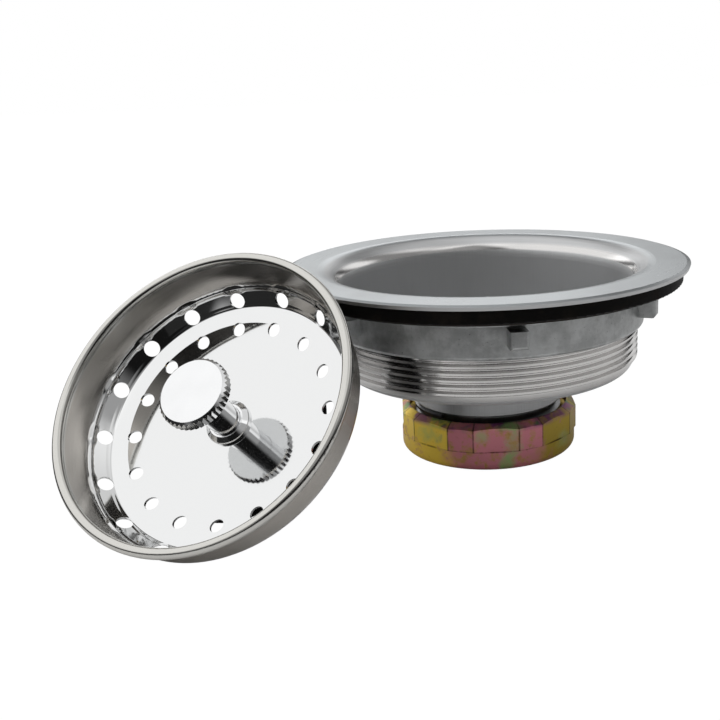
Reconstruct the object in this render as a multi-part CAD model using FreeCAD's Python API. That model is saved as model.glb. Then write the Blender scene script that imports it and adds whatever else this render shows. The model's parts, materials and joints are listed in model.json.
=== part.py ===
"""Sink strainer: threaded cup with clamp rings, locknut, outlet neck and coupling nut,
and the lift-out basket with its sliding stopper, leaning on the flange as it is set down.

Millimetres, +Z up.  The origin is on the strainer's axis at the level it stands on, which is
the mouth of the coupling nut.  The person in front of it looks along +Y.
"""
import FreeCAD
import Part
import math
import os

V = FreeCAD.Vector

# Strainer cup, drawn from sheet
flange_diameter = 114.3
body_height = 54.4
cup_depth = 30.0
cup_inner_radius = 41.3
sheet = 1.0
throat_radius = 6.6
flange_edge_drop = 0.35
flange_edge_width = 1.1
shoulder_radius = 2.4
outlet_dish = 2.2
outlet_flat_radius = 26.0

# Cup thread and locknut, 14 turns to the inch
cup_pitch = 25.4 / 14
cup_thread_depth = 0.9
thread_run_in = 0.8
thread_run_out = 0.8
thread_start = 90.0
locknut_height = 11.0
locknut_wall = 1.4
locknut_rim_width = 2.2
locknut_rim_height = 1.6
lug_count = 6
lug_reach = 4.4
lug_width = 4.8
lug_height = 4.7
lug_drop = 2.6
lug_angle = -81.5

# Clamp rings between flange and locknut
gasket_thickness = 4.2
gasket_inset = 1.9
gasket_bore_gap = 0.4
friction_ring_thickness = 1.0
friction_ring_inset = 5.0

# Outlet neck, 11.5 turns to the inch
neck_bore_radius = 19.0
neck_pitch = 25.4 / 11.5
neck_root_wall = 1.3
neck_thread_depth = 1.1
neck_collar_step = 0.1
neck_collar_groove = 0.9
neck_flange_width = 2.4
neck_flange_thickness = 0.8

# Cross bar in the neck
spoke_count = 4
spoke_width = 2.4
spoke_height = 3.0
spoke_turn = 20.0
hub_bore_radius = 4.6
hub_wall = 2.2
cross_bar_drop = 4.0

# Coupling nut and its washer
tailpiece_diameter = 38.1
tailpiece_gap = 0.5
nut_height = 13.4
nut_lip = 2.6
nut_corner_radius = 25.9
nut_band_radius = 25.4
nut_band_height = 5.6
nut_band_fillet = 2.0
nut_top_chamfer = 1.5
nut_mouth_radius = 23.1
nut_mouth_depth = 2.6
nut_flat_pairs = 8
nut_wide_flat = 28.5
nut_turn = -86.2
washer_thickness = 2.0
collar_gap = 1.1

# Basket, drawn from thinner sheet; heights are measured down from the rim
basket_rim_radius = 40.5
basket_sheet = 0.7
rim_bead_radius = 1.35
basket_floor_depth = 17.2
basket_wall_taper = 0.45
wall_foot_radius = 1.5
ridge_depth = 11.2
ridge_step = 0.75
ridge_radius = 0.8
bend_top_depth = 12.5
bend_floor_radius = 33.2
hole_ring_rise = 1.0
hole_ring_width = 3.4
hole_count = 16
floor_hole_diameter = 3.6
floor_hole_circle = 27.35
wall_hole_diameter = 4.2
hole_phase = 195.3

# Stem, knob and stopper
stem_radius = 4.05
stem_travel = 8.0
knob_face_radius = 8.25
knob_edge_radius = 9.2
knob_height = 3.2
knob_teeth = 42
knob_tooth_depth = 0.5
knob_above_rim = 1.55
knob_socket_depth = 2.0
bushing_flange_radius = 6.0
bushing_flange_height = 1.9
bushing_flange_edge = 0.9
bushing_wall = 1.15
bushing_nut_radius = 7.6
bushing_nut_height = 2.2
grip_ring_section = 0.55
stopper_top_radius = 24.5
stopper_bottom_radius = 20.5
stopper_thickness = 6.0
stopper_plate_radius = 13.0
stopper_plate_thickness = 0.9
stopper_washer_radius = 9.0
stopper_washer_thickness = 1.0
stopper_nut_flats = 11.0
stopper_nut_height = 4.0
stem_tip_radius = 2.9
stem_tip_length = 5.5

# How the basket leans: height of its axis, its heading, and where it stands round the strainer
lean_elevation = 43.2
lean_heading = -113.13
lean_bearing = -139.75
lean_gap = 0.3

# Fits
running_gap = 0.06
seat_gap = 0.04
thread_gap = 0.22

# Places that follow from the sizes above
flange_radius = flange_diameter / 2
flange_under = body_height - sheet
cup_bottom = body_height - cup_depth
cup_root_radius = cup_inner_radius + sheet
cup_crest_radius = cup_root_radius + cup_thread_depth
cup_thread_low = cup_bottom + sheet + shoulder_radius - thread_run_out
cup_thread_high = body_height - throat_radius - thread_run_in
gasket_low = flange_under - gasket_thickness
friction_ring_low = gasket_low - friction_ring_thickness
locknut_low = friction_ring_low - locknut_height
outlet_floor = cup_bottom + sheet - outlet_dish
outlet_under = outlet_floor - sheet
neck_root_radius = neck_bore_radius + neck_root_wall
neck_crest_radius = neck_root_radius + neck_thread_depth
neck_end = nut_lip + washer_thickness
collar_low = nut_height + collar_gap
nut_bore_radius = neck_crest_radius + thread_gap
basket_floor = -basket_floor_depth
floor_under = basket_floor - basket_sheet
bushing_radius = stem_radius + running_gap + bushing_wall
bushing_low = floor_under - bushing_nut_height
stopper_high = bushing_low - stopper_plate_thickness
stopper_low = stopper_high - stopper_thickness
stopper_nut_high = stopper_low - stopper_washer_thickness
stopper_nut_low = stopper_nut_high - stopper_nut_height
stem_tip = stopper_nut_low - stem_tip_length
knob_low = knob_above_rim - knob_height


def rounded_wire(corners):
    """Closed wire in the XZ plane through (radius, height, rounding) corners."""
    points = [V(r, 0, z) for r, z, _ in corners]
    edges = []
    ends = []
    for i, (_, _, rounding) in enumerate(corners):
        here = points[i]
        back = (points[i - 1] - here).normalize()
        ahead = (points[(i + 1) % len(points)] - here).normalize()
        if rounding <= 0:
            ends.append((here, here))
            continue
        half = back.getAngle(ahead) / 2
        reach = rounding / math.tan(half)
        first = here + back * reach
        last = here + ahead * reach
        bisector = (back + ahead).normalize()
        middle = here + bisector * (rounding / math.sin(half) - rounding)
        edges.append(Part.Arc(first, middle, last).toShape())
        ends.append((first, last))
    for i, (_, last) in enumerate(ends):
        following = ends[(i + 1) % len(ends)][0]
        if (following - last).Length > 1e-6:
            edges.append(Part.LineSegment(last, following).toShape())
    return Part.Wire(Part.__sortEdges__(edges))


def turned(corners):
    """Solid of revolution round Z."""
    return Part.Face(rounded_wire(corners)).revolve(V(0, 0, 0), V(0, 0, 1), 360)


def tube(inner, outer, low, high):
    return turned([(inner, low, 0), (outer, low, 0), (outer, high, 0), (inner, high, 0)])


def sheet_corners(path, thickness):
    """Outline of a sheet whose one face follows path, its thickness lying to the left of it."""
    offset = []
    count = len(path)
    for i, (r, z, rounding) in enumerate(path):
        here = V(r, 0, z)
        sides = []
        if i > 0:
            sides.append((here - V(path[i - 1][0], 0, path[i - 1][1])).normalize())
        if i < count - 1:
            sides.append((V(path[i + 1][0], 0, path[i + 1][1]) - here).normalize())
        normals = [V(-side.z, 0, side.x) for side in sides]
        mitre = (normals[0] + normals[-1]).normalize()
        shifted = here + mitre * (thickness / mitre.dot(normals[0]))
        turn = sides[0].x * sides[-1].z - sides[0].z * sides[-1].x
        other = rounding - math.copysign(thickness, turn) if rounding > 0 else 0
        offset.append((shifted.x, shifted.z, max(other, 0)))
    return list(path) + offset[::-1]


def thread_ridge(foot, tip, foot_half, tip_half, pitch, low, high):
    """Right-hand helical ridge from radius foot to radius tip, between two heights."""
    helix = Part.makeHelix(pitch, high - low, foot)
    outline = Part.makePolygon([
        V(foot, 0, -foot_half), V(tip, 0, -tip_half), V(tip, 0, tip_half),
        V(foot, 0, foot_half), V(foot, 0, -foot_half)])
    ridge = Part.Wire(helix.Edges).makePipeShell([outline], True, True)
    ridge.translate(V(0, 0, low))
    ridge.rotate(V(0, 0, 0), V(0, 0, 1), thread_start)
    return ridge


def outer_thread(root, depth, pitch, low, high):
    foot = root - sink_depth(depth)
    return thread_ridge(foot, root + depth, 0.47 * pitch, 0.15 * pitch, pitch, low, high)


def sink_depth(depth):
    """How far a ridge is let into the wall that carries it."""
    return 0.15 * depth


def inner_thread(root, depth, pitch, bore, outer_low, low, high):
    """Ridge in a nut that lies midway between the turns of the outer thread."""
    crest = root + depth
    foot = bore + sink_depth(depth)
    tip = root + thread_gap
    slope = 0.32 * pitch / (depth + sink_depth(depth))

    def half_width(radius):
        return max(0.35 * pitch - slope * (crest - radius) - thread_gap, 0.05 * pitch)

    turns = math.ceil((low - outer_low) / pitch - 0.5) + 0.5
    start = outer_low + turns * pitch
    return thread_ridge(foot, tip, half_width(foot), half_width(tip), pitch, start, high)


def cup_sheet():
    """Flange, rolled throat, straight wall and dished floor, before the thread."""
    floor = cup_bottom + sheet
    path = [
        (flange_radius, body_height - flange_edge_drop, 0),
        (flange_radius - flange_edge_width, body_height, 0),
        (cup_inner_radius, body_height, throat_radius),
        (cup_inner_radius, floor, shoulder_radius),
        (outlet_flat_radius, outlet_floor, 2.0),
        (neck_root_radius + seat_gap, outlet_floor, 0)]
    return turned(sheet_corners(path, sheet))


def strainer_cup():
    thread = outer_thread(cup_root_radius, cup_thread_depth, cup_pitch,
                          cup_thread_low, cup_thread_high)
    return cup_sheet().fuse(thread)


def outlet_neck():
    """Sleeve swaged through the cup's floor, with a smooth collar above its thread."""
    collar = neck_crest_radius + neck_collar_step
    flange = neck_root_radius + neck_flange_width
    top = outlet_floor + neck_flange_thickness
    body = turned([
        (neck_bore_radius, neck_end, 0), (neck_root_radius, neck_end, 0.3),
        (neck_root_radius, collar_low, 0), (collar, collar_low, 0.4),
        (collar, outlet_under - neck_collar_groove, 0.5),
        (collar - neck_collar_groove, outlet_under, 0), (neck_root_radius, outlet_under, 0),
        (neck_root_radius, outlet_floor, 0), (flange, outlet_floor, 0),
        (flange, top, 0.3), (neck_bore_radius, top, 0.6)])
    thread = outer_thread(neck_root_radius, neck_thread_depth, neck_pitch,
                          neck_thread_low(), collar_low - neck_pitch / 2)
    return body.fuse(thread)


def neck_thread_low():
    return neck_end + neck_pitch / 2 + 0.2


def cross_bar():
    """Spoked guard with a hub that guides the stopper's stem."""
    high = outlet_under - cross_bar_drop
    low = high - spoke_height
    hub = tube(hub_bore_radius, hub_bore_radius + hub_wall, low, high)
    reach = Part.makeCylinder(neck_bore_radius - seat_gap, spoke_height, V(0, 0, low))
    bar = hub
    for i in range(spoke_count):
        spoke = Part.makeBox(neck_bore_radius, spoke_width, spoke_height,
                             V(hub_bore_radius + hub_wall / 2, -spoke_width / 2, low))
        spoke.rotate(V(0, 0, 0), V(0, 0, 1), spoke_turn + i * 360 / spoke_count)
        bar = bar.fuse(spoke.common(reach))
    return bar.removeSplitter()


def flange_gasket():
    inner = cup_inner_radius + throat_radius + gasket_bore_gap
    outer = flange_radius - gasket_inset
    return turned([(inner, gasket_low, 0), (outer, gasket_low, 0.5),
                   (outer, flange_under, 0.5), (inner, flange_under, 0)])


def friction_ring():
    inner = cup_crest_radius + gasket_bore_gap
    return tube(inner, flange_radius - friction_ring_inset, friction_ring_low, gasket_low)


def locknut():
    """Cast ring nut: thin skirt, narrow rim on top and six wrench lugs."""
    bore = cup_crest_radius + thread_gap
    skirt = bore + locknut_wall
    rim = skirt + locknut_rim_width
    body = turned([
        (bore, locknut_low, 0.4), (skirt, locknut_low, 1.0),
        (skirt, friction_ring_low - locknut_rim_height, 0.5),
        (rim, friction_ring_low - locknut_rim_height, 0.3),
        (rim, friction_ring_low, 0.3), (bore, friction_ring_low, 0.4)])
    lug_high = friction_ring_low - lug_drop
    for i in range(lug_count):
        body = body.fuse(locknut_lug(skirt, lug_high, lug_angle + i * 360 / lug_count))
    body = body.removeSplitter()
    return body.fuse(inner_thread(
        cup_root_radius, cup_thread_depth, cup_pitch, bore, cup_thread_low,
        locknut_low + 0.7 * cup_pitch, friction_ring_low - 1.2 * cup_pitch))


def locknut_lug(skirt, high, angle):
    low = high - lug_height
    foot = skirt - locknut_wall / 2
    lug = Part.makeBox(lug_reach + skirt - foot, lug_width, high - low,
                       V(foot, -lug_width / 2, low))
    tip = skirt + lug_reach
    rounded = [e for e in lug.Edges if all(abs(v.X - tip) < 1e-6 for v in e.Vertexes)
               and not all(abs(v.Z - high) < 1e-6 for v in e.Vertexes)]
    lug = lug.makeFillet(0.8, rounded)
    lug.rotate(V(0, 0, 0), V(0, 0, 1), angle)
    return lug


def nut_flats():
    """Prism of alternating wide and narrow flats."""
    narrow = 360 / nut_flat_pairs - nut_wide_flat
    corners = []
    for i in range(nut_flat_pairs):
        start = nut_turn - nut_wide_flat / 2 + i * (nut_wide_flat + narrow)
        for angle in (start, start + nut_wide_flat):
            turn = math.radians(angle)
            corners.append(V(nut_corner_radius * math.cos(turn),
                             nut_corner_radius * math.sin(turn), nut_band_height))
    face = Part.Face(Part.makePolygon(corners + corners[:1]))
    return face.extrude(V(0, 0, nut_height - nut_band_height))


def coupling_nut():
    """Slip nut with flats, a round band below them and a lip that carries the washer."""
    tall = nut_height - nut_band_height
    crown = turned([
        (0, nut_band_height, 0), (nut_corner_radius + 1, nut_band_height, 0),
        (nut_corner_radius + 1, nut_band_height + tall - nut_top_chamfer - 0.6, 0),
        (nut_mouth_radius + 0.5, nut_height, 0), (0, nut_height, 0)])
    band = turned([(0, 0, 0), (nut_band_radius, 0, nut_band_fillet),
                   (nut_band_radius, nut_band_height, 0), (0, nut_band_height, 0)])
    body = nut_flats().common(crown).fuse(band)
    mouth = tailpiece_diameter / 2 + tailpiece_gap
    bore = turned([
        (0, -1, 0), (mouth, -1, 0), (mouth, nut_lip, 0), (nut_bore_radius, nut_lip, 0),
        (nut_bore_radius, nut_height - nut_mouth_depth - 1.2, 0),
        (nut_mouth_radius, nut_height - nut_mouth_depth, 0),
        (nut_mouth_radius, nut_height + 1, 0), (0, nut_height + 1, 0)])
    body = body.cut(bore)
    return body.fuse(inner_thread(
        neck_root_radius, neck_thread_depth, neck_pitch, nut_bore_radius, neck_thread_low(),
        neck_end + 0.2 * neck_pitch, nut_height - nut_mouth_depth - 1.2 - 0.5 * neck_pitch))


def tailpiece_washer():
    inner = tailpiece_diameter / 2 + tailpiece_gap
    return tube(inner, nut_bore_radius - thread_gap, nut_lip, neck_end)


def basket_sheet_solid():
    """Rim bead, satin wall, ridge, bend and stepped floor, before its holes."""
    wall_top = basket_rim_radius - 2 * rim_bead_radius + 0.2
    wall_low = wall_top - basket_wall_taper
    ridge_low = wall_low - ridge_step
    ring_out = floor_hole_circle + hole_ring_width / 2
    ring_in = floor_hole_circle - hole_ring_width / 2
    annulus = basket_floor + hole_ring_rise
    path = [
        (wall_top, -rim_bead_radius, 0),
        (wall_low, -ridge_depth, wall_foot_radius),
        (ridge_low, -ridge_depth - 0.6, ridge_radius),
        (ridge_low - 0.3, -bend_top_depth, 2.0),
        (bend_floor_radius, annulus, 4.0),
        (ring_out, annulus, 1.2),
        (ring_in, basket_floor, 1.2),
        (bushing_radius + seat_gap, basket_floor, 0)]
    shell = turned(sheet_corners(path, basket_sheet))
    bead = Part.makeTorus(basket_rim_radius - rim_bead_radius, rim_bead_radius,
                          V(0, 0, -rim_bead_radius))
    return shell.fuse(bead)


def hole_angles():
    return [hole_phase + i * 360 / hole_count for i in range(hole_count)]


def basket_shell():
    shell = basket_sheet_solid()
    bend_radius = (bend_floor_radius + basket_rim_radius - 2 * rim_bead_radius + 0.2
                   - basket_wall_taper - ridge_step - 0.3) / 2
    bend_height = (basket_floor + hole_ring_rise - bend_top_depth) / 2
    cutters = []
    for angle in hole_angles():
        floor_hole = Part.makeCylinder(floor_hole_diameter / 2, 4 * basket_sheet,
                                       V(floor_hole_circle, 0, floor_under - basket_sheet))
        wall_hole = Part.makeCylinder(wall_hole_diameter / 2, 4 * basket_sheet,
                                      V(bend_radius - basket_sheet, 0, bend_height + basket_sheet),
                                      V(1, 0, -1))
        for hole in (floor_hole, wall_hole):
            hole.rotate(V(0, 0, 0), V(0, 0, 1), angle)
            cutters.append(hole)
    return shell.cut(cutters)


def stem_bushing():
    """Flanged sleeve in the basket's floor; its flange is the ring seen round the stem."""
    bore = stem_radius + running_gap
    groove = bore + grip_ring_section + seat_gap
    groove_middle = (bushing_low + floor_under) / 2
    body = turned([
        (bore, bushing_low, 0), (bushing_radius, bushing_low, 0),
        (bushing_radius, basket_floor, 0), (bushing_flange_radius, basket_floor, 0),
        (bushing_flange_radius, basket_floor + bushing_flange_edge, 0.4),
        (bore + 0.5, basket_floor + bushing_flange_height, 0.3),
        (bore, basket_floor + bushing_flange_height, 0)])
    half = grip_ring_section + seat_gap
    return body.cut(tube(bore - 1, groove, groove_middle - half, groove_middle + half))


def stem_grip_ring():
    """Rubber ring in the bushing that holds the stem where it is left."""
    middle = (bushing_low + floor_under) / 2
    bore = stem_radius + running_gap / 2
    outer = stem_radius + running_gap + grip_ring_section
    half = grip_ring_section
    return turned([(bore, middle - half, 0), (outer, middle - half, 0.2),
                   (outer, middle + half, 0.2), (bore, middle + half, 0)])


def bushing_nut():
    return turned([
        (bushing_radius + seat_gap, bushing_low, 0), (bushing_nut_radius, bushing_low, 0.4),
        (bushing_nut_radius, floor_under, 0), (bushing_radius + seat_gap, floor_under, 0)])


def knob():
    """Bare round face over a serrated edge, with a blind socket for the stem."""
    teeth = []
    for i in range(2 * knob_teeth):
        radius = knob_edge_radius - (i % 2) * knob_tooth_depth
        turn = math.pi * i / knob_teeth
        teeth.append(V(radius * math.cos(turn), radius * math.sin(turn), knob_low))
    edge = Part.Face(Part.makePolygon(teeth + teeth[:1])).extrude(V(0, 0, knob_height))
    slope = knob_edge_radius - knob_face_radius
    blank = turned([
        (0, knob_low, 0), (knob_edge_radius - 0.5, knob_low, 0),
        (knob_edge_radius + 0.1, knob_low + 0.6, 0),
        (knob_edge_radius + 0.1, knob_above_rim - slope, 0),
        (knob_face_radius, knob_above_rim, 0.25), (0, knob_above_rim, 0)])
    socket = Part.makeCylinder(stem_radius + seat_gap, knob_socket_depth, V(0, 0, knob_low))
    return edge.common(blank).cut(socket)


def stem():
    """Plain rod from the knob's socket to the reduced guide tip."""
    neck = stem_tip_radius + 0.3
    return turned([
        (0, stem_tip, 0), (stem_tip_radius, stem_tip, 0.8),
        (stem_tip_radius, stopper_nut_low - 0.5, 0), (neck, stopper_nut_low - 0.5, 0),
        (neck, bushing_low, 0), (stem_radius, bushing_low, 0),
        (stem_radius, knob_low + knob_socket_depth, 0.3),
        (0, knob_low + knob_socket_depth, 0)])


def stem_shoulder_bore():
    return stem_tip_radius + 0.3 + seat_gap


def stopper_plate():
    return tube(stem_shoulder_bore(), stopper_plate_radius, stopper_high, bushing_low)


def stopper_seal():
    """Tapered rubber plug that closes the outlet."""
    return turned([
        (stem_shoulder_bore(), stopper_low, 0), (stopper_bottom_radius, stopper_low, 0.8),
        (stopper_top_radius, stopper_high - 1.6, 0.8), (stopper_top_radius, stopper_high, 0.6),
        (stem_shoulder_bore(), stopper_high, 0)])


def stopper_washer():
    return tube(stem_shoulder_bore(), stopper_washer_radius, stopper_nut_high, stopper_low)


def stopper_nut():
    across_corners = stopper_nut_flats / math.cos(math.pi / 6)
    corners = []
    for i in range(7):
        turn = math.pi * i / 3
        corners.append(V(across_corners / 2 * math.cos(turn),
                         across_corners / 2 * math.sin(turn), stopper_nut_low))
    body = Part.Face(Part.makePolygon(corners)).extrude(V(0, 0, stopper_nut_height))
    bore = Part.makeCylinder(stem_shoulder_bore(), stopper_nut_height, V(0, 0, stopper_nut_low))
    return body.cut(bore)


def lean_placement():
    """Turn that tips the basket over, set down on the floor and moved up to the flange."""
    tip = FreeCAD.Rotation(V(0, 1, 0), 90 - lean_elevation)
    face = FreeCAD.Rotation(V(0, 0, 1), lean_heading)
    spin = FreeCAD.Rotation(V(0, 0, 1), 90)
    turn = face.multiply(tip).multiply(spin)
    bearing = math.radians(lean_bearing)
    outward = V(math.cos(bearing), math.sin(bearing), 0)
    basket = basket_sheet_solid()
    basket.Placement = FreeCAD.Placement(V(0, 0, 0), turn)
    rise = -basket.optimalBoundingBox(False).ZMin
    cup = cup_sheet()
    reach = flange_radius + 2 * basket_rim_radius
    for _ in range(8):
        basket.Placement = FreeCAD.Placement(outward * reach + V(0, 0, rise), turn)
        spare = basket.distToShape(cup)[0] - lean_gap
        reach -= spare
    return FreeCAD.Placement(outward * reach + V(0, 0, rise), turn)


def main():
    os.makedirs("parts", exist_ok=True)
    upright = (strainer_cup, outlet_neck, cross_bar, flange_gasket, friction_ring, locknut,
               tailpiece_washer, coupling_nut)
    leaning = (basket_shell, stem_bushing, stem_grip_ring, bushing_nut, knob, stem,
               stopper_plate, stopper_seal, stopper_washer, stopper_nut)
    lean = lean_placement()
    for make in upright + leaning:
        shape = make()
        if make in leaning:
            shape.Placement = lean.multiply(shape.Placement)
        shape.exportStep("parts/" + make.__name__ + ".step")
    print("rim centre", lean.Base, "axis", lean.Rotation.multVec(V(0, 0, 1)))


main()
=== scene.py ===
"""Sink strainer: finishes for its CAD pieces, the dish of the basket's floor, and a photo stage."""
import json
import math

import bpy
from bpy.props import FloatProperty, FloatVectorProperty, PointerProperty
from mathutils import Matrix, Vector

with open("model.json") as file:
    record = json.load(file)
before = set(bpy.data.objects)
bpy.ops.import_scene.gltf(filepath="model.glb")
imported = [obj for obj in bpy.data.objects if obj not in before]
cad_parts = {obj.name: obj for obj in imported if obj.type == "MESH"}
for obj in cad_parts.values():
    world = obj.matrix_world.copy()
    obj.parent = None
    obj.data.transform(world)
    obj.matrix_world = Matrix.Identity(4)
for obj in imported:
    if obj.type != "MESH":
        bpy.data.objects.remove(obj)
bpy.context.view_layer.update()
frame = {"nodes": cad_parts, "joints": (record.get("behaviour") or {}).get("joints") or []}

bl_info = {
    "name": "Sink Strainer",
    "version": (1, 0, 0),
    "blender": (4, 5, 0),
    "location": "3D View > Sidebar > Strainer",
    "description": "Finishes and photo stage for the sink strainer",
    "category": "Object",
}

# Edges on the cup, neck and coupling nut, in metres: a pair is where a finish starts and is full
CUP_SKIN = (0.0416, 0.0419)
CUP_SKIN_TOP = (0.0515, 0.0525)
THROAT_TOP = (0.0500, 0.0530)
BOWL_TOP = (0.0470, 0.0520)
FLANGE_TOP = (0.0538, 0.0543)
CUP_REACH = 0.041
NECK_REACH = 0.0215
NUT_REACH = 0.0255
BAND_LEDGE = 0.0056
BAND_TOP = (0.0055, 0.0057)
LEDGE_LINE = (0.00005, 0.0003)
NUT_TOP = (0.0108, 0.0128)

# Edges on the basket, in metres below its rim or from its axis
BEAD_FOOT = (-0.0026, -0.0022)
WALL_FOOT = (-0.0118, -0.0100)
CREASE_TOP = (-0.0118, -0.0104)
CREASE_FOOT = (-0.0130, -0.0122)
BUSHING_EDGE = (0.0061, 0.0063)
DISH_START = 0.0288
DISH_EDGE = (0.0286, 0.0290)
BEND_FOOT = (0.0330, 0.0337)
FLOOR_END = (0.0338, 0.0344)
DISH_TILT = 0.14
DISH_CURVE = 38
BEND_TILT = math.radians(48)
HOLE_PHASE = math.radians(195.3)
HOLE_STEP = math.pi / 8
BASKET_AXIS = Vector(next(j["axis"] for j in frame["joints"] if j["name"] == "basket_lift"))
BASKET_RIM = Vector((-0.0709844, -0.0600927, 0.0359467))

# The nut's flats, and its green spots: place across and up, half width and height, share of green
NUT_TURN = math.radians(-86.2)
FLAT_STEP = math.pi / 4
WIDE_FLAT = 14.25 / 45
PLATING_SPOTS = (
    (0.0046, 0.0085, 0.0028, 0.0050, 1.00), (-0.0040, 0.0100, 0.0022, 0.0024, 0.60),
    (0.0030, 0.0026, 0.0024, 0.0034, 0.95), (0.0035, 0.0124, 0.0040, 0.0010, 0.95),
    (-0.0205, 0.0090, 0.0050, 0.0030, 0.45), (0.0230, 0.0050, 0.0040, 0.0030, 0.40),
    (0.0500, 0.0070, 0.0060, 0.0040, 0.60), (-0.0520, 0.0060, 0.0070, 0.0040, 0.60),
    (0.0750, 0.0080, 0.0050, 0.0030, 0.60))

# Tones of wear, of painted shade and of small areas
CLOUDED = (0.3, 0.3, 0.3)
DUST = (0.020, 0.014, 0.010)
PIT = (0.10, 0.10, 0.10)
# Dirt on the nut, also the tone of the painted shade along the edges between its flats
NUT_DIRT_AND_SHADE = (0.07, 0.045, 0.02)
TOP_VIOLET = (0.22, 0.06, 0.20)
TOP_GREEN = (0.05, 0.22, 0.10)
BEAD = (0.62, 0.61, 0.58)
DARK_FLOOR = (0.03, 0.03, 0.03)

# Brushed lines: how far a ring wavers on its way round, and a stroke's length in line widths
RING_WAVER = 2.5
STROKE = 60

# The pale table that the pieces mirror, in metres, and the light of each patch of the studio
TABLE_LEFT = (-0.16, -0.12)
TABLE_RIGHT = (0.16, 0.30)
TABLE_FRONT = (-0.20, -0.16)
SOFTBOX_LIGHT = 1.10
WALL_LIGHT = 0.95
OVERHEAD_LIGHT = 0.75
FRONT_LIGHT = 0.38
SIDE_LIGHT = 0.30
LEFT_LIGHT = 0.35
ROOM_LIGHT = 0.008


def basket_turn():
    """Euler angles from upright to the basket as it leans."""
    heading = math.atan2(BASKET_AXIS.y, BASKET_AXIS.x)
    tip = math.acos(BASKET_AXIS.z)
    turn = (Matrix.Rotation(heading, 3, "Z") @ Matrix.Rotation(tip, 3, "Y")
            @ Matrix.Rotation(math.pi / 2, 3, "Z"))
    return tuple(turn.to_euler())


def colour(name, description, default):
    return FloatVectorProperty(name=name, description=description, subtype="COLOR", size=3,
                               min=0, max=1, default=default)


def length(name, description, default):
    return FloatProperty(name=name, description=description, unit="LENGTH", subtype="DISTANCE",
                         min=0, precision=5, default=default)


def share(name, description, default):
    return FloatProperty(name=name, description=description, subtype="FACTOR", min=0, max=1,
                         default=default)


class StrainerFinishes(bpy.types.PropertyGroup):
    steel: colour("Satin steel", "Brushed flange and cup", (0.52, 0.525, 0.53))
    flange: colour("Flange", "Top of the flange", (0.46, 0.49, 0.505))
    thread_steel: colour("Thread steel", "Rolled thread of the cup", (0.66, 0.65, 0.64))
    polish: colour("Polished steel", "Basket floor and bend", (0.77, 0.775, 0.775))
    wall: colour("Basket wall", "Satin wall of the basket", (0.58, 0.55, 0.51))
    chrome: colour("Chrome", "Knob, stem and bushing", (0.88, 0.885, 0.89))
    zinc: colour("Cast zinc", "Raw casting of the locknut", (0.50, 0.51, 0.51))
    gold: colour("Plating gold", "Yellow of the plated nut", (0.72, 0.52, 0.08))
    pink: colour("Plating pink", "Pink bloom of the plated nut", (0.66, 0.25, 0.29))
    green: colour("Plating green", "Green bloom of the plated nut", (0.33, 0.48, 0.19))
    rubber: colour("Rubber", "Gasket, stopper and grip ring", (0.004, 0.0036, 0.0032))
    fibre: colour("Fibre", "Friction ring", (0.030, 0.025, 0.021))
    nylon: colour("Nylon", "Tailpiece washer", (0.78, 0.77, 0.72))
    satin: share("Satin roughness", "How much the brushed steel scatters light", 0.30)
    mirror: share("Mirror roughness", "How much the polished steel scatters light", 0.05)


class StrainerSizes(bpy.types.PropertyGroup):
    brush_line: length("Brush line", "Width of one brushed line", 0.00025)
    mottle: length("Mottle", "Size of the cast metal's patches", 0.006)
    bloom: length("Bloom", "Size of the plating's colour patches", 0.011)


class StrainerStage(bpy.types.PropertyGroup):
    camera_place: FloatVectorProperty(
        name="Camera place", description="Where the camera stands", subtype="XYZ",
        unit="LENGTH", size=3, default=(-0.0063, -0.29565, 0.1098))
    camera_pitch: FloatProperty(name="Pitch", description="How far the camera looks down",
                                subtype="ANGLE", default=math.radians(15.878))
    camera_yaw: FloatProperty(name="Yaw", description="How far the camera looks to the right",
                              subtype="ANGLE", default=math.radians(-3.12))
    camera_roll: FloatProperty(name="Roll", description="How far the camera leans",
                               subtype="ANGLE", default=math.radians(-2.538))
    focal: FloatProperty(name="Focal length", description="Lens on a 36 mm wide frame",
                         unit="CAMERA", default=52.34)
    shift: FloatProperty(name="Shift", description="Sideways shift of the lens", default=-0.0694)
    floor_tone: share("Floor tone", "How pale the floor is", 0.92)


class Flow:
    """A shader socket that takes part in sums."""

    def __init__(self, finish, socket):
        self.finish = finish
        self.socket = socket

    def sum(self, operation, *values):
        return self.finish.node("ShaderNodeMath", {"operation": operation},
                                dict(enumerate((self,) + values)))

    def __add__(self, other):
        return self.sum("ADD", other)

    def __radd__(self, other):
        return self.sum("ADD", other)

    def __sub__(self, other):
        return self.sum("SUBTRACT", other)

    def __rsub__(self, other):
        return self.finish.node("ShaderNodeMath", {"operation": "SUBTRACT"}, {0: other, 1: self})

    def __mul__(self, other):
        return self.sum("MULTIPLY", other)

    def __rmul__(self, other):
        return self.sum("MULTIPLY", other)

    def __truediv__(self, other):
        return self.sum("DIVIDE", other)

    def __pow__(self, other):
        return self.sum("POWER", other)

    def above(self, low, high):
        """0 below low, 1 above high, smooth between."""
        return self.finish.node(
            "ShaderNodeMapRange", {"interpolation_type": "SMOOTHSTEP"},
            {"Value": self, "From Min": low, "From Max": high})

    def below(self, low, high):
        """1 below low, 0 above high, smooth between."""
        return 1 - self.above(low, high)


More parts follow.
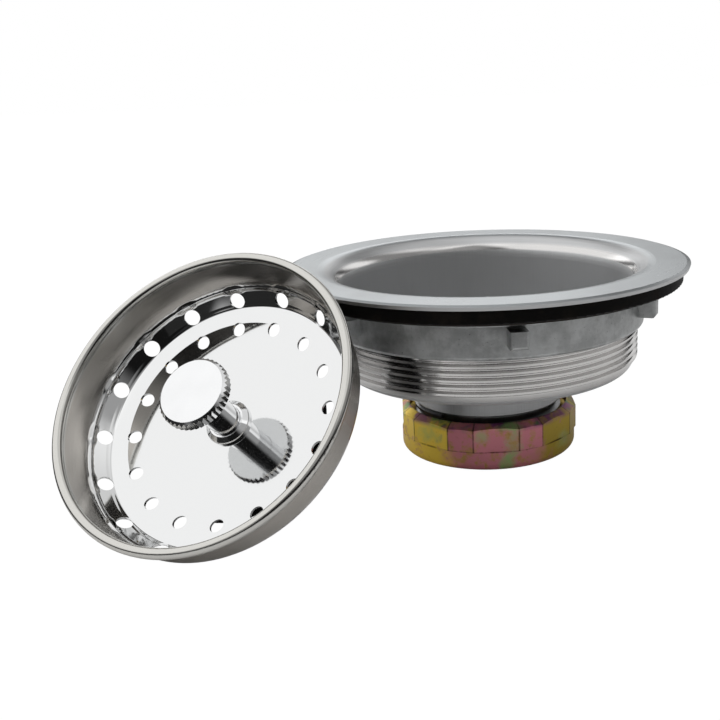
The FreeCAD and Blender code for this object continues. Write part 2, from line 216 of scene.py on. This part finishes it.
class Shading:
    """A node tree being written."""

    def __init__(self, tree):
        self.tree = tree

    def node(self, kind, settings=None, inputs=None, output=0):
        node = self.tree.nodes.new(kind)
        for key, value in (settings or {}).items():
            setattr(node, key, value)
        for key, value in (inputs or {}).items():
            self.put(node.inputs[key], value)
        return Flow(self, node.outputs[output])

    def put(self, socket, value):
        if isinstance(value, Flow):
            self.tree.links.new(value.socket, socket)
        elif socket.type == "RGBA":
            socket.default_value = (*value, 1)
        else:
            socket.default_value = value

    def mix(self, first, second, factor):
        """Colour between first and second."""
        return self.node("ShaderNodeMix", {"data_type": "RGBA"},
                         {0: factor, 6: first, 7: second}, 2)

    def vector(self, x, y, z):
        return self.node("ShaderNodeCombineXYZ", None, {0: x, 1: y, 2: z})

    def split(self, vector):
        """The three parts of a vector."""
        parts = self.node("ShaderNodeSeparateXYZ", None, {0: vector}).socket.node.outputs
        return [Flow(self, part) for part in parts]

    def ray(self, kind):
        """1 for rays of a kind and 0 for the others."""
        return self.node("ShaderNodeLightPath", None, None, kind)

    def noise(self, vector, scale, detail=2.0, roughness=0.5):
        return self.node("ShaderNodeTexNoise", None, {
            "Vector": vector, "Scale": scale, "Detail": detail, "Roughness": roughness})


class Finish(Shading):
    """A material under construction."""

    def __init__(self, name, **fixed):
        self.material = bpy.data.materials.new(name)
        self.material.use_nodes = True
        super().__init__(self.material.node_tree)
        self.shader = self.tree.nodes["Principled BSDF"]
        self.set(**fixed)

    def set(self, **values):
        """Numbers, colours or flows for the shader's sockets."""
        for key, value in values.items():
            socket = key.replace("_", " ").title().replace("Ior", "IOR")
            self.put(self.shader.inputs[socket], value)

    def place(self, centre=(0, 0, 0), turn=(0, 0, 0)):
        """Object coordinates in the piece's own upright frame."""
        coords = self.node("ShaderNodeTexCoord", None, None, "Object")
        return self.node("ShaderNodeMapping", {"vector_type": "TEXTURE"},
                         {"Vector": coords, "Location": centre, "Rotation": turn})

    def round(self, place):
        """Radius, height, cosine and sine of a place round its axis."""
        x, y, z = self.split(place)
        radius = (x * x + y * y) ** 0.5
        return radius, z, x / radius, y / radius

    def to_world(self, normal):
        return self.node("ShaderNodeVectorTransform", {
            "vector_type": "NORMAL", "convert_from": "OBJECT", "convert_to": "WORLD"}, {0: normal})

    def bump(self, height, distance, strength=1.0, normal=None):
        inputs = {"Height": height, "Distance": distance, "Strength": strength}
        if normal:
            inputs["Normal"] = normal
        self.set(normal=self.node("ShaderNodeBump", None, inputs))


def dress(node, material):
    """Puts a material on every slot of a CAD node."""
    for slot in frame["nodes"][node].material_slots:
        slot.material = material


def toned(tone, factor):
    """A tone made darker or paler."""
    return [part * factor for part in tone]


def ring_lines(finish, radius, z, cos, sin, line):
    """Brushed lines that run round the axis."""
    across = finish.vector(radius / line, cos * RING_WAVER, (sin * RING_WAVER) + z / line)
    return finish.noise(across, 1.0, 3.0, 0.6)


def upright_lines(finish, z, cos, sin, line, reach):
    """Brushed lines that run along the axis, on a wall of the given reach."""
    across = finish.vector(cos * (reach / line), sin * (reach / line), z / (STROKE * line))
    return finish.noise(across, 1.0, 3.0, 0.6)


def rubber_finish(name, tone):
    """Matt rubber with a moulded grain and a little dust."""
    rubber = Finish(name, specular_ior_level=0.08)
    place = rubber.place()
    grain = rubber.noise(place, 1800.0, 3.0, 0.6)
    dust = rubber.noise(place, 120.0, 4.0, 0.65).above(0.5, 0.75)
    rubber.set(base_color=rubber.mix(tone, DUST, dust * 0.6))
    rubber.set(roughness=0.5 + dust * 0.2 + (grain - 0.5) * 0.1)
    rubber.bump(grain, 0.00008, 0.35)
    return rubber.material


def basket_place(finish):
    """Coordinates in the basket's own frame, its rim at height 0."""
    return finish.place(tuple(BASKET_RIM), basket_turn())


class STRAINER_OT_cup(bpy.types.Operator):
    """Brushes the flange round and the inside upright, and leaves the rolled thread bright"""
    bl_idname = "strainer.cup"
    bl_label = "Strainer cup"

    def execute(self, context):
        tones = context.scene.strainer_finishes
        line = context.scene.strainer_sizes.brush_line
        finish = Finish("satin_steel", metallic=1.0)
        radius, z, cos, sin = finish.round(finish.place())
        outside = radius.above(*CUP_SKIN) * z.below(*CUP_SKIN_TOP)
        inside = z.below(*THROAT_TOP) * (1 - outside)
        bowl = z.below(*BOWL_TOP) * (1 - outside)
        flange = z.above(*FLANGE_TOP)
        rings = ring_lines(finish, radius, z, cos, sin, line)
        strokes = upright_lines(finish, z, cos, sin, line, CUP_REACH)
        lines = inside * strokes + (1 - inside) * rings
        cloud = finish.noise(finish.place(), 45.0, 3.0)
        satin = finish.mix(toned(tones.steel, 0.80), toned(tones.steel, 1.18), lines)
        # Painted light: the steel inside the cup, below the throat, is made paler
        satin = finish.mix(satin, toned(tones.steel, 1.12), bowl * (0.5 + lines * 0.5))
        satin = finish.mix(satin, tones.flange, flange * 0.85)
        tone = finish.mix(satin, tones.thread_steel, outside)
        clouded = finish.mix(tone, CLOUDED, 0.3)
        finish.set(base_color=finish.mix(tone, clouded, cloud.above(0.45, 0.8)))
        satin_rough = (tones.satin + (lines - 0.5) * 0.14 + (cloud - 0.5) * 0.06
                       + bowl * 0.20 + (1 - flange) * 0.08)
        thread_rough = 0.13 + (cloud - 0.5) * 0.06
        finish.set(roughness=satin_rough * (1 - outside) + thread_rough * outside)
        finish.bump(lines * (1 - outside), 0.00002, 0.35)
        dress("strainer_cup", finish.material)
        return {"FINISHED"}


class STRAINER_OT_neck(bpy.types.Operator):
    """Brushes the outlet neck and the cross bar along the axis"""
    bl_idname = "strainer.neck"
    bl_label = "Outlet neck and cross bar"

    def execute(self, context):
        tones = context.scene.strainer_finishes
        line = 0.8 * context.scene.strainer_sizes.brush_line
        finish = Finish("neck_steel", metallic=1.0)
        z, cos, sin = finish.round(finish.place())[1:]
        strokes = upright_lines(finish, z, cos, sin, line, NECK_REACH)
        tone = finish.mix(toned(tones.steel, 0.55), toned(tones.steel, 0.88), strokes)
        finish.set(base_color=tone, roughness=0.24 + strokes * 0.16)
        finish.bump(strokes, 0.00003, 0.4)
        dress("outlet_neck", finish.material)
        dress("cross_bar", finish.material)
        return {"FINISHED"}


class STRAINER_OT_rings(bpy.types.Operator):
    """Gives the gasket its rubber, the friction ring its fibre and the washer its nylon"""
    bl_idname = "strainer.rings"
    bl_label = "Gasket, friction ring and washer"

    def execute(self, context):
        tones = context.scene.strainer_finishes
        dress("flange_gasket", rubber_finish("gasket_rubber", tones.rubber))
        fibre = Finish("fibre")
        grain = fibre.noise(fibre.place(), 2200.0, 4.0, 0.7)
        tone = fibre.mix(toned(tones.fibre, 0.6), toned(tones.fibre, 1.5), grain)
        fibre.set(base_color=tone, roughness=0.72 + (grain - 0.5) * 0.2)
        fibre.bump(grain, 0.0001, 0.5)
        dress("friction_ring", fibre.material)
        nylon = Finish("nylon")
        haze = nylon.noise(nylon.place(), 300.0, 3.0)
        tone = nylon.mix(toned(tones.nylon, 0.92), tones.nylon, haze)
        nylon.set(base_color=tone, roughness=0.45 + (haze - 0.5) * 0.15)
        dress("tailpiece_washer", nylon.material)
        return {"FINISHED"}


class STRAINER_OT_locknut(bpy.types.Operator):
    """Mottles the raw casting of the locknut"""
    bl_idname = "strainer.locknut"
    bl_label = "Locknut"

    def execute(self, context):
        zinc = context.scene.strainer_finishes.zinc
        patch = context.scene.strainer_sizes.mottle
        finish = Finish("cast_zinc", metallic=1.0)
        place = finish.place()
        patches = finish.noise(place, 1 / patch, 5.0, 0.65)
        pits = finish.noise(place, 1500.0, 2.0, 0.5)
        tone = finish.mix(toned(zinc, 0.78), toned(zinc, 1.2), patches.above(0.34, 0.68))
        finish.set(base_color=finish.mix(tone, PIT, pits.above(0.66, 0.78) * 0.6))
        finish.set(roughness=0.30 + patches * 0.25)
        finish.bump(patches * 0.7 + pits * 0.3, 0.00025, 0.35)
        dress("locknut", finish.material)
        return {"FINISHED"}


class STRAINER_OT_coupling_nut(bpy.types.Operator):
    """Plates the coupling nut yellow, with pink and green bloom"""
    bl_idname = "strainer.coupling_nut"
    bl_label = "Coupling nut"

    def execute(self, context):
        tones = context.scene.strainer_finishes
        patch = context.scene.strainer_sizes.bloom
        finish = Finish("yellow_zinc", metallic=1.0)
        place = finish.place(turn=(0, 0, NUT_TURN))
        z, cos, sin = finish.round(place)[1:]
        angle = sin.sum("ARCTAN2", cos)
        drift = finish.noise(place, 1 / patch, 3.0, 0.6)
        ragged = finish.noise(place, 260.0, 4.0, 0.65)
        fine = finish.noise(place, 520.0, 4.0, 0.7)
        flats = z.above(*BAND_TOP)
        tone = self.bloom(finish, tones, flats, cos, sin, drift, ragged)
        tops = z.above(*NUT_TOP) * finish.noise(place, 210.0, 2.0).above(0.38, 0.58)
        top_tone = finish.mix(TOP_VIOLET, TOP_GREEN, drift.above(0.5, 0.56))
        tone = finish.mix(tone, top_tone, tops * 0.85)
        arc = angle * NUT_REACH
        for across, up, wide, high, share_of_green in PLATING_SPOTS:
            spread = (((arc - across) / wide) ** 2 + ((z - up) / high) ** 2
                      + (drift - 0.5) * 2.0 + (ragged - 0.5) * 4.0)
            tone = finish.mix(tone, tones.green, spread.below(-0.3, 1.5) * share_of_green)
        turn = (angle / FLAT_STEP + 0.5).sum("FRACT") - 0.5
        # Painted shade: dark lines along the edges between the nut's flats
        corner_shade = (turn.sum("ABSOLUTE") - WIDE_FLAT).sum("ABSOLUTE").below(0.004, 0.018) * flats
        ledge = (z - BAND_LEDGE).sum("ABSOLUTE").below(*LEDGE_LINE)
        # One dark tone for random specks, the painted shade at the flats' edges and a darker line
        # along the ledge
        dirt_and_shade = (fine.above(0.60, 0.80) * 0.4 + corner_shade * ragged.above(0.20, 0.60) * 0.8
                + ledge * ragged.above(0.35, 0.60) * 0.6)
        finish.set(base_color=finish.mix(tone, NUT_DIRT_AND_SHADE, dirt_and_shade.sum("MINIMUM", 1.0)))
        finish.set(roughness=0.30 + fine * 0.14)
        finish.bump(fine, 0.00006, 0.2)
        dress("coupling_nut", finish.material)
        return {"FINISHED"}

    def bloom(self, finish, tones, flats, cos, sin, drift, ragged):
        """Yellow plating that turns pink on the front flats and in drifts behind, with painted
        light making it paler on the left and painted shade making it darker on the right.
        """
        front = (cos + (drift - 0.5) * 0.3).above(0.80, 0.95)
        facing = flats * cos.above(0.852, 0.866) + (1 - flats) * front
        behind = cos.below(-0.1, 0.3) * drift.above(0.48, 0.62)
        dull_and_shaded_gold = toned(tones.gold, 0.62)
        rust = finish.mix(tones.pink, dull_and_shaded_gold, ragged.above(0.50, 0.68) * 0.7)
        # Painted light and shade: the gold is paler on the left of the nut and darker on the right
        yellow = finish.mix(toned(tones.gold, 1.25), dull_and_shaded_gold, sin.above(-0.6, 0.6))
        gold = finish.mix(yellow, toned(tones.pink, 0.70), ragged.below(0.34, 0.46) * 0.45)
        return finish.mix(gold, rust, (facing + behind).sum("MINIMUM", 1.0))


class STRAINER_OT_basket(bpy.types.Operator):
    """Polishes the basket's floor and bend and leaves its wall satin"""
    bl_idname = "strainer.basket"
    bl_label = "Basket shell"

    def execute(self, context):
        tones = context.scene.strainer_finishes
        line = context.scene.strainer_sizes.brush_line
        finish = Finish("polished_steel", metallic=1.0)
        radius, z, cos, sin = finish.round(basket_place(finish))
        rings = ring_lines(finish, radius, z, cos, sin, line)
        smear = finish.noise(finish.vector(cos * 1.4, sin * 1.4, z * 60), 1.0, 2.0)
        wall = z.above(*WALL_FOOT) * z.below(*BEAD_FOOT)
        rim = z.above(*BEAD_FOOT)
        satin = finish.mix(toned(tones.wall, 0.85), toned(tones.wall, 1.15), rings)
        tone = finish.mix(tones.polish, satin, wall)
        finish.set(base_color=finish.mix(tone, BEAD, rim))
        wall_rough = 0.20 + (rings - 0.5) * 0.08 + (smear - 0.5) * 0.04
        finish.set(roughness=tones.mirror + wall * wall_rough + rim * 0.13)
        step = ((sin.sum("ARCTAN2", cos) - HOLE_PHASE) / HOLE_STEP + 0.5).sum("FRACT") - 0.5
        over_hole = step.sum("ABSOLUTE").below(0.05, 0.24)
        crease = over_hole * z.above(*CREASE_FOOT) * z.below(*CREASE_TOP)
        finish.bump(rings * wall * 0.004 + crease * 0.35, 0.001, 1.0,
                    self.dish(finish, radius, cos, sin))
        dress("basket_shell", finish.material)
        return {"FINISHED"}

    def dish(self, finish, radius, cos, sin):
        """Normal of the polished floor: flat past its holes, dished up to the foot of the bend."""
        dished = radius.above(*DISH_EDGE) * (DISH_TILT + (radius - DISH_START) * DISH_CURVE)
        bend = radius.above(*BEND_FOOT)
        tilt = dished * (1 - bend) + bend * BEND_TILT
        lean = tilt.sum("SINE") * -1
        upright = finish.vector(cos * lean, sin * lean, tilt.sum("COSINE"))
        turned = finish.node("ShaderNodeMapping", {"vector_type": "VECTOR"},
                             {"Vector": upright, "Rotation": basket_turn()})
        exact = finish.to_world(turned)
        meshed = finish.node("ShaderNodeNewGeometry", None, None, "Normal")
        facing = finish.node("ShaderNodeVectorMath", {"operation": "DOT_PRODUCT"}, {
            0: meshed, 1: finish.to_world(tuple(BASKET_AXIS))}, "Value").above(0.25, 0.40)
        inside = radius.above(*BUSHING_EDGE) * radius.below(*FLOOR_END) * facing
        return finish.node("ShaderNodeMix", {"data_type": "VECTOR"},
                           {0: inside, 4: meshed, 5: exact}, 1)


class STRAINER_OT_stopper(bpy.types.Operator):
    """Finishes the knob, stem, bushing and the stopper below the basket"""
    bl_idname = "strainer.stopper"
    bl_label = "Knob, stem and stopper"

    def execute(self, context):
        tones = context.scene.strainer_finishes
        chrome = Finish("chrome", metallic=1.0)
        place = basket_place(chrome)
        haze = chrome.noise(place, 160.0, 3.0)
        scuff = chrome.noise(place, 900.0, 3.0, 0.7)
        chrome.set(base_color=chrome.mix(toned(tones.chrome, 0.9), tones.chrome, haze))
        chrome.set(roughness=0.06 + haze * 0.05 + scuff.above(0.6, 0.8) * 0.06)
        for node in ("knob", "stem", "stem_bushing", "bushing_nut"):
            dress(node, chrome.material)
        steel = Finish("stopper_steel", metallic=1.0)
        radius, z, cos, sin = steel.round(basket_place(steel))
        rings = ring_lines(steel, radius, z, cos, sin, 0.0003)
        steel.set(base_color=steel.mix(toned(tones.polish, 0.85), tones.polish, rings))
        steel.set(roughness=0.16 + rings * 0.14)
        for node in ("stopper_plate", "stopper_washer", "stopper_nut"):
            dress(node, steel.material)
        rubber = rubber_finish("stopper_rubber", tones.rubber)
        dress("stopper_seal", rubber)
        dress("stem_grip_ring", rubber)
        return {"FINISHED"}


class STRAINER_OT_stage(bpy.types.Operator):
    """Sets the pale floor, the studio light and the camera"""
    bl_idname = "strainer.stage"
    bl_label = "Stage"

    def execute(self, context):
        stage = context.scene.strainer_stage
        context.scene.view_settings.view_transform = "Standard"
        self.floor(stage)
        self.studio(context)
        self.camera(context, stage)
        return {"FINISHED"}

    def floor(self, stage):
        """A floor that looks white and is mirrored as a pale table in a dark room."""
        bpy.ops.object.select_all(action="DESELECT")
        bpy.ops.mesh.primitive_plane_add(size=6, location=(0, 0, -0.0002))
        floor = bpy.context.object
        floor.name = "floor"
        paper = Finish("pale_floor", roughness=0.9, specular_ior_level=0.0)
        tooth = paper.noise(paper.place(), 900.0, 2.0)
        white = (stage.floor_tone,) * 3
        x, y, _ = paper.split(paper.place())
        table = x.above(*TABLE_LEFT) * x.below(*TABLE_RIGHT) * y.above(*TABLE_FRONT)
        pale = paper.mix(toned(white, 0.985), white, tooth)
        mirrored = paper.mix(DARK_FLOOR, white, table)
        paper.set(base_color=paper.mix(pale, mirrored, paper.ray("Is Glossy Ray")))
        glow = paper.node("ShaderNodeEmission", None, {"Color": (1, 1, 1), "Strength": 1.03})
        paper.put(paper.tree.nodes["Material Output"].inputs["Surface"],
                  paper.node("ShaderNodeMixShader", None, {
                      0: paper.ray("Is Camera Ray") * 0.97,
                      1: Flow(paper, paper.shader.outputs[0]), 2: glow}))
        floor.data.materials.append(paper.material)

    def studio(self, context):
        """Patches of light round a dark room, by direction, behind a white background."""
        world = bpy.data.worlds.new("studio")
        world.use_nodes = True
        context.scene.world = world
        room = Shading(world.node_tree)
        x, y, z = room.split(room.node("ShaderNodeTexCoord", None, None, "Generated"))
        softbox = (z * 0.80 - x * 0.60).above(0.60, 0.80) * y.above(-0.80, -0.70)
        wall = (y.above(0.10, 0.40) * z.below(0.40, 0.52) * (1 - softbox)
                * (0.20 + z.above(0.16, 0.28) * 1.70))
        wall = wall * (1 - x.above(0.08, 0.30) * 0.55)
        overhead = z.above(0.62, 0.80) * (1 - softbox) * (y + x * 0.35).above(-0.52, -0.38)
        front = y.below(-0.45, -0.34) * z.above(0.30, 0.55) * x.above(-0.45, 0.15)
        side = x.above(0.35, 0.70) * z.above(0.05, 0.30) * y.above(-0.44, -0.34)
        left = y.below(-0.70, -0.60) * z.above(0.12, 0.25) * x.below(-0.32, -0.22)
        light = (softbox * SOFTBOX_LIGHT + wall * WALL_LIGHT + overhead * OVERHEAD_LIGHT
                 + front * FRONT_LIGHT + side * SIDE_LIGHT + left * LEFT_LIGHT + ROOM_LIGHT)
        seen = room.ray("Is Camera Ray")
        strength = light * (1 - seen) + seen
        room.put(world.node_tree.nodes["Background"].inputs["Color"],
                 room.vector(strength, strength, strength))

    def camera(self, context, stage):
        pitch, yaw, roll = stage.camera_pitch, stage.camera_yaw, stage.camera_roll
        ahead = Vector((math.sin(yaw) * math.cos(pitch), math.cos(yaw) * math.cos(pitch),
                        -math.sin(pitch)))
        right = Vector((math.cos(yaw), -math.sin(yaw), 0))
        up = right.cross(ahead)
        across = right * math.cos(roll) + up * math.sin(roll)
        upward = up * math.cos(roll) - right * math.sin(roll)
        turn = Matrix((across, upward, -ahead)).transposed()
        bpy.ops.object.camera_add()
        camera = context.object
        camera.name = "camera"
        camera.matrix_world = Matrix.Translation(stage.camera_place) @ turn.to_4x4()
        camera.data.sensor_width = 36
        camera.data.lens = stage.focal
        camera.data.shift_x = stage.shift
        camera.data.clip_start = 0.01
        context.scene.camera = camera


class STRAINER_PT_sidebar(bpy.types.Panel):
    """Lists the strainer's pieces, sizes and finishes"""
    bl_idname = "STRAINER_PT_sidebar"
    bl_label = "Sink Strainer"
    bl_space_type = "VIEW_3D"
    bl_region_type = "UI"
    bl_category = "Strainer"

    def draw(self, context):
        column = self.layout.column()
        for operator in OPERATORS:
            column.operator(operator.bl_idname)
        for group in (context.scene.strainer_finishes, context.scene.strainer_sizes,
                      context.scene.strainer_stage):
            for name in group.__annotations__:
                column.prop(group, name)


OPERATORS = (STRAINER_OT_cup, STRAINER_OT_neck, STRAINER_OT_rings, STRAINER_OT_locknut,
             STRAINER_OT_coupling_nut, STRAINER_OT_basket, STRAINER_OT_stopper, STRAINER_OT_stage)
CLASSES = (StrainerFinishes, StrainerSizes, StrainerStage) + OPERATORS + (STRAINER_PT_sidebar,)


def register():
    for each in CLASSES:
        bpy.utils.register_class(each)
    bpy.types.Scene.strainer_finishes = PointerProperty(type=StrainerFinishes)
    bpy.types.Scene.strainer_sizes = PointerProperty(type=StrainerSizes)
    bpy.types.Scene.strainer_stage = PointerProperty(type=StrainerStage)


def unregister():
    del bpy.types.Scene.strainer_stage
    del bpy.types.Scene.strainer_sizes
    del bpy.types.Scene.strainer_finishes
    for each in reversed(CLASSES):
        bpy.utils.unregister_class(each)


def main():
    register()
    bpy.ops.strainer.cup()
    bpy.ops.strainer.neck()
    bpy.ops.strainer.rings()
    bpy.ops.strainer.locknut()
    bpy.ops.strainer.coupling_nut()
    bpy.ops.strainer.basket()
    bpy.ops.strainer.stopper()
    bpy.ops.strainer.stage()


if __name__ == "__main__":
    main()
